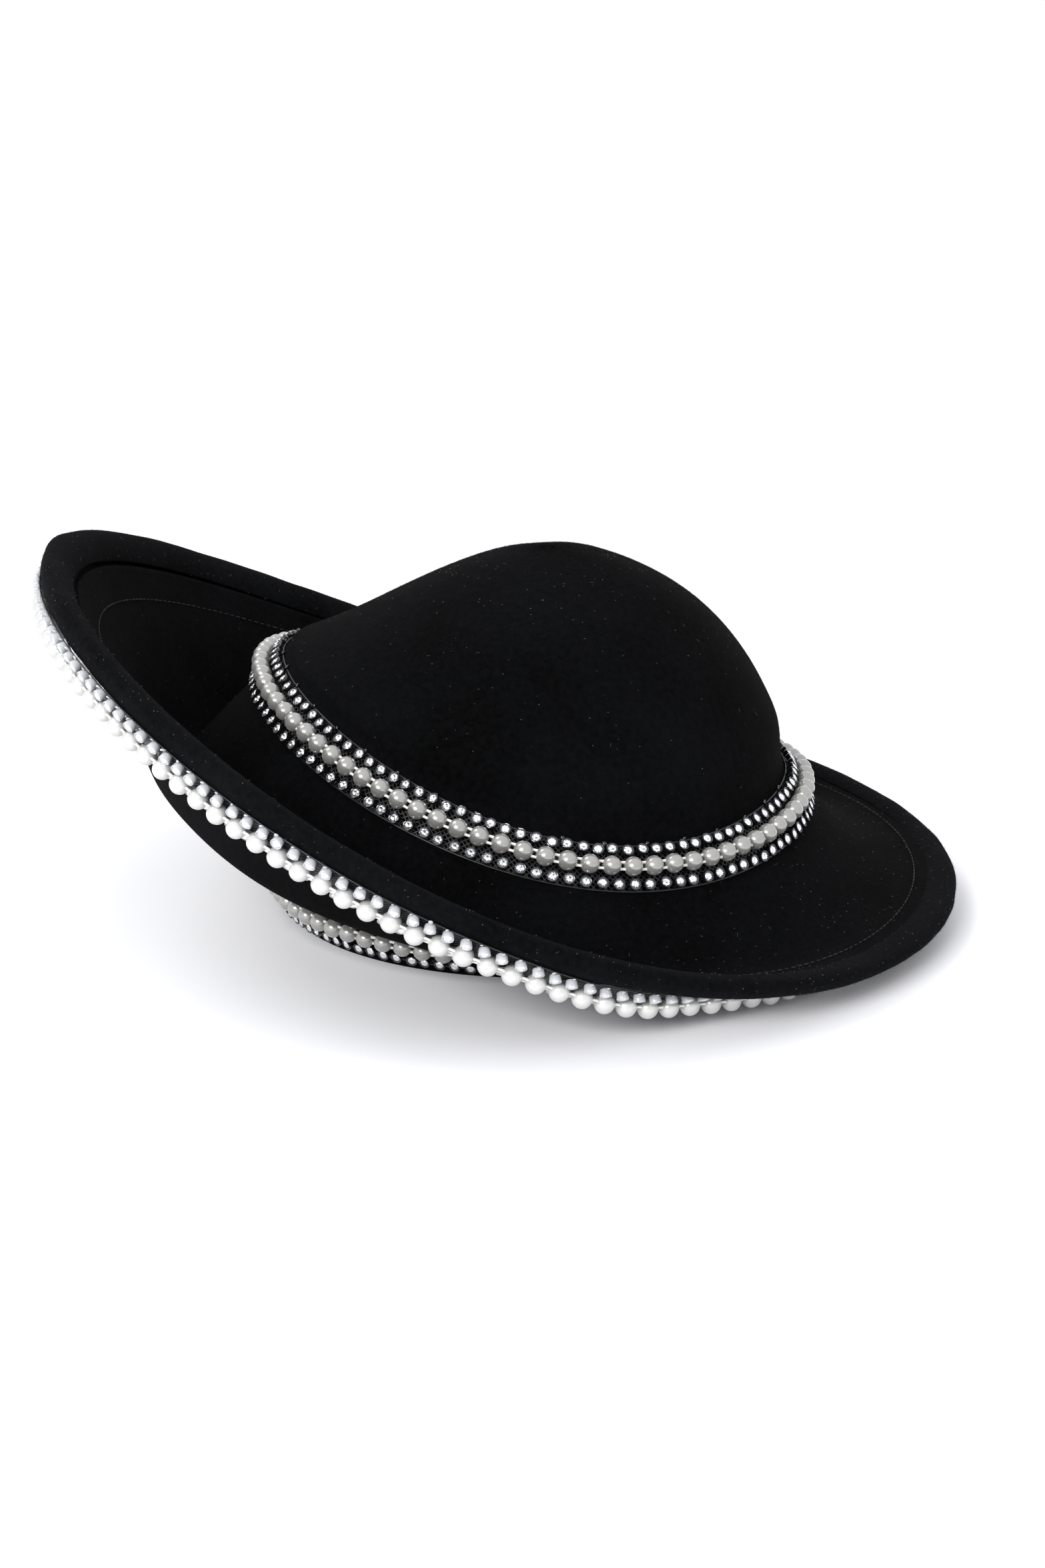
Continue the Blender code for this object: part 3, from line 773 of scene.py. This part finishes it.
def fibres(name, points, normals, look, length, width, lay, count):
    """Fine short hairs standing off the felt."""
    flat_points, flat_normals = points.reshape(-1, 3), normals.reshape(-1, 3)
    pick = RNG.integers(0, len(flat_points), count)
    base = flat_points[pick] + RNG.normal(0, 0.5, (count, 3))
    up = flat_normals[pick]
    base = base - up * np.sum((base - flat_points[pick]) * up, axis=1, keepdims=True)
    side = unit(np.cross(up, RNG.normal(0, 1, (count, 3))))
    lean = unit(up + np.cross(side, up) * RNG.normal(0, lay, (count, 1)))
    size = length * RNG.uniform(0.35, 1.0, (count, 1))
    bend = side * RNG.normal(0, 0.25, (count, 1)) * size
    half = side * width / 2
    verts = np.stack([base - half - up * 0.1, base + half - up * 0.1,
                      base + lean * size * 0.6 + half * 0.7 + bend * 0.4,
                      base + lean * size + bend], axis=1).reshape(-1, 3)
    k = np.arange(count)[:, None] * 4
    faces = np.concatenate([k + np.array([[0, 1, 2]]), k + np.array([[0, 2, 3]])])
    return put(name, verts, faces, look, smooth=False)


def lint(name, points, normals, count):
    """Pale specks and short threads of dust lying on the nap."""
    flat_points, flat_normals = points.reshape(-1, 3), normals.reshape(-1, 3)
    pick = RNG.integers(0, len(flat_points), count)
    up = flat_normals[pick]
    base = flat_points[pick] + up * 0.18
    x = unit(np.cross(up, RNG.normal(0, 1, (count, 3))))
    y = np.cross(up, x)
    shape, faces = lathe([(0.01, -1.0), (0.6, -0.7), (1.0, 0.0), (0.6, 0.7), (0.01, 1.0)], 5)
    long = np.where(RNG.random(count) < 0.16, RNG.uniform(0.35, 0.95, count), RNG.uniform(0.08, 0.24, count))
    thick = np.where(long > 0.3, 0.04, long * 0.7)
    scale = np.stack([thick, thick, long], axis=1)
    v, f = copies(shape, faces, base, y, up, x, scale)
    return put(name, v, f, LINT_LOOK)


# ---- assembly ---------------------------------------------------------------------------------
crown, crown_normal = make_crown()
brim, brim_normal = make_brim()
roll = make_roll()
make_wire()
make_stitches()
make_bandeau()

make_banding("crown_band", band_frame, "crown_trim", PEARL_PITCH, BLACK_CUP_LOOK, sway=0.12)
make_banding("brim_band", brim_trim_frame, "brim_trim", BRIM_PITCH, CLEAR_CUP_LOOK, sway=0.1)
make_banding("tail_band", tail_frame, "tail_trim", BRIM_PITCH, CLEAR_CUP_LOOK,
             TAIL_FROM, TAIL_TO, False)
make_banding("bandeau_band", bandeau_trim_frame, "bandeau_trim", PEARL_PITCH, BLACK_CUP_LOOK, sway=0.1)
make_tabs("brim_band_upper", brim_trim_frame, 1, BRIM_PITCH / 1.4, CLEAR_CUP_LOOK)
make_tabs("crown_band_upper", band_frame, 1, PEARL_PITCH * 2.1, BLACK_CUP_LOOK)

hairs = 60000
dome = crown[: int(len(crown) * 0.84)]
fibres("crown_nap", dome, crown_normal[: len(dome)], FELT_LOOK, 0.55, 0.05, 0.9, hairs)
fibres("brim_nap", brim, brim_normal, FELT_LOOK, 0.5, 0.05, 0.9, hairs)
fibres("brim_under_nap", brim - brim_normal * FELT, -brim_normal, FELT_LOOK, 0.5, 0.05, 0.9, hairs // 2)
roll_middle, _, _ = rim_frame(np.arange(roll.shape[1]) * TAU / roll.shape[1])
fibres("edge_nap", roll, unit(roll - roll_middle[None]), EDGE_PAINTED_LIGHT_LOOK, 0.6, 0.05, 0.9, hairs)
lint("crown_lint", dome[12:], crown_normal[12: len(dome)], 420)
lint("brim_lint", brim, brim_normal, 900)
lint("edge_lint", roll, unit(roll - roll_middle[None]), 900)

# ---- studio -----------------------------------------------------------------------------------

def make_floor():
    mesh = bpy.data.meshes.new("floor")
    half = 40.0
    mesh.from_pydata([(-half, -half, 0), (half, -half, 0), (half, half, 0), (-half, half, 0)], [],
                     [(0, 1, 2, 3)])
    made, _, shader = node_material("white paper")
    shader.inputs["Base Color"].default_value = (0.93, 0.93, 0.945, 1.0)
    shader.inputs["Roughness"].default_value = 0.6
    shader.inputs["Specular IOR Level"].default_value = 0.2
    mesh.materials.append(made)
    floor = bpy.data.objects.new("floor", mesh)
    floor.location.z = (cad_low[2]) - 0.0002
    bpy.context.collection.objects.link(floor)


def area_light(name, place, target, size, power, colour=(1, 1, 1)):
    light = bpy.data.lights.new(name, "AREA")
    light.shape = "RECTANGLE"
    light.size, light.size_y = size
    light.energy = power
    light.color = colour
    made = bpy.data.objects.new(name, light)
    bpy.context.collection.objects.link(made)
    made.location = place
    aim = np.array(target) - np.array(place)
    made.rotation_mode = "QUATERNION"
    made.rotation_quaternion = Vector(aim).to_track_quat("-Z", "Y")
    return made


def sun_light(name, come_from, strength, spread):
    light = bpy.data.lights.new(name, "SUN")
    light.energy = strength
    light.angle = math.radians(spread)
    made = bpy.data.objects.new(name, light)
    bpy.context.collection.objects.link(made)
    made.rotation_mode = "QUATERNION"
    made.rotation_quaternion = Vector([-c for c in come_from]).to_track_quat("-Z", "Y")


CAMERA_UP = math.radians(18.0)         # the camera's height above the level
CAMERA_DISTANCE = 1160.7
LOOK_AT = (6.36, 0.0, 45.72)
LENS = 70.36294


def make_camera():
    cam = bpy.data.cameras.new("camera")
    made = bpy.data.objects.new("camera", cam)
    bpy.context.collection.objects.link(made)
    target = np.array(LOOK_AT) + SHIFT
    back = np.array([0.0, -math.cos(CAMERA_UP), math.sin(CAMERA_UP)])
    made.location = (target + back * CAMERA_DISTANCE) * MM
    made.rotation_euler = (math.pi / 2 - CAMERA_UP, 0.0, 0.0)
    cam.sensor_fit = "AUTO"
    cam.sensor_width = 36.0
    cam.lens = LENS
    cam.clip_start, cam.clip_end = 0.05, 40.0
    bpy.context.scene.camera = made


def make_world():
    world = bpy.data.worlds.new("studio")
    world.use_nodes = True
    ground = world.node_tree.nodes["Background"]
    ground.inputs["Color"].default_value = (0.97, 0.975, 1.0, 1.0)
    ground.inputs["Strength"].default_value = 1.05
    bpy.context.scene.world = world


make_floor()
make_world()
make_camera()
sun_light("key", (-0.62, 0.28, 1.0), 0.6, 24.0)
area_light("front", (-0.7, -1.5, 0.9), (0.0, 0.0, 0.05), (0.9, 0.5), 26.0)
scene = bpy.context.scene
scene.view_settings.view_transform = "Standard"
scene.view_settings.look = "None"
scene.view_settings.exposure = 0.0
